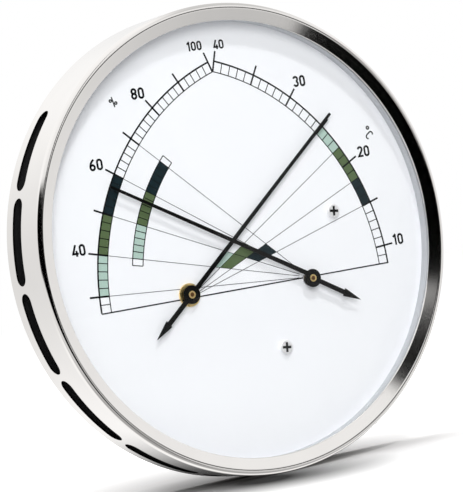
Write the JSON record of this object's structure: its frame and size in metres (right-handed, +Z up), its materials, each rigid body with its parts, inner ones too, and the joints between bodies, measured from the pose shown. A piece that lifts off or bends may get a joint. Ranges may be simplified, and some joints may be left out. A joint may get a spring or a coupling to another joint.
{
  "type": "thermo-hygrometer",
  "caption": "Round wall instrument in a shallow steel case with a vented side wall: crossing temperature and humidity pointers on one dial behind flat glass, keyhole at the rear.",
  "frame": {"origin": "on the axis of the case, in the plane of the rear face that lies on the wall", "axes": "+Z up when it hangs, +Y into the wall, so the dial faces -Y; +X to the right of the reader"},
  "size_m": [0.13, 0.0186, 0.13],
  "materials": {
    "stainless_steel": "fine satin",
    "clear_glass": "clear, polished",
    "light_plastic": "satin",
    "dial_white": "matte print on white",
    "black_plastic": "fine texture",
    "plated_steel": "zinc plated",
    "plated_screws": "nickel plated",
    "brass": "turned",
    "bronze_spring": "rolled strip",
    "bimetal": "rolled strip",
    "hair": "fine fibres",
    "pointer_black": "matte"
  },
  "bodies": {
    "case": {"back_cover": "black_plastic", "bimetal_coil": "bimetal", "bridge_pillars": "brass", "case_shell": "stainless_steel", "coil_bracket": "plated_steel", "dial_plate": "dial_white", "dial_screws": "plated_screws", "hair_strand": "hair", "hygrometer_base": "plated_steel", "hygrometer_bridge": "plated_steel", "hygrometer_bush": "plated_steel", "return_spring": "bronze_spring", "spacer_ring": "light_plastic", "spring_stud": "brass", "thermometer_bush": "brass", "thermometer_nut": "brass", "window_glass": "clear_glass"},
    "temperature_pointer": {"temperature_arbor": "plated_steel", "temperature_pointer": "pointer_black", "temperature_pointer_collet": "brass"},
    "humidity_pointer": {"humidity_arbor": "plated_steel", "hair_crank": "brass", "crank_link": "brass", "humidity_pointer": "pointer_black", "humidity_pointer_collet": "brass"},
    "hair_adjuster": {"hair_adjuster": "brass", "adjuster_link": "brass"}
  },
  "joints": [
    {"name": "temperature_pointer_turn", "type": "hinge", "parent": "case", "child": "temperature_pointer", "pos_m": [-0.0195, -0.0105, -0.0127], "axis": [0, -1, 0], "range_deg": [-38.6, 33.6], "stiffness_Nm_per_rad": 0.005, "deforming": ["bimetal_coil"]},
    {"name": "humidity_pointer_turn", "type": "hinge", "parent": "case", "child": "humidity_pointer", "pos_m": [0.0195, -0.0095, -0.0141], "axis": [0, 1, 0], "range_deg": [-29.7, 42.1], "stiffness_Nm_per_rad": 0.003, "deforming": ["return_spring", "hair_strand"]},
    {"name": "hair_adjuster_turn", "type": "hinge", "parent": "case", "child": "hair_adjuster", "pos_m": [0.03953, -0.0065, 0.01821], "axis": [0, -1, 0], "range_deg": [-30, 30], "deforming": ["hair_strand"]}
  ]
}
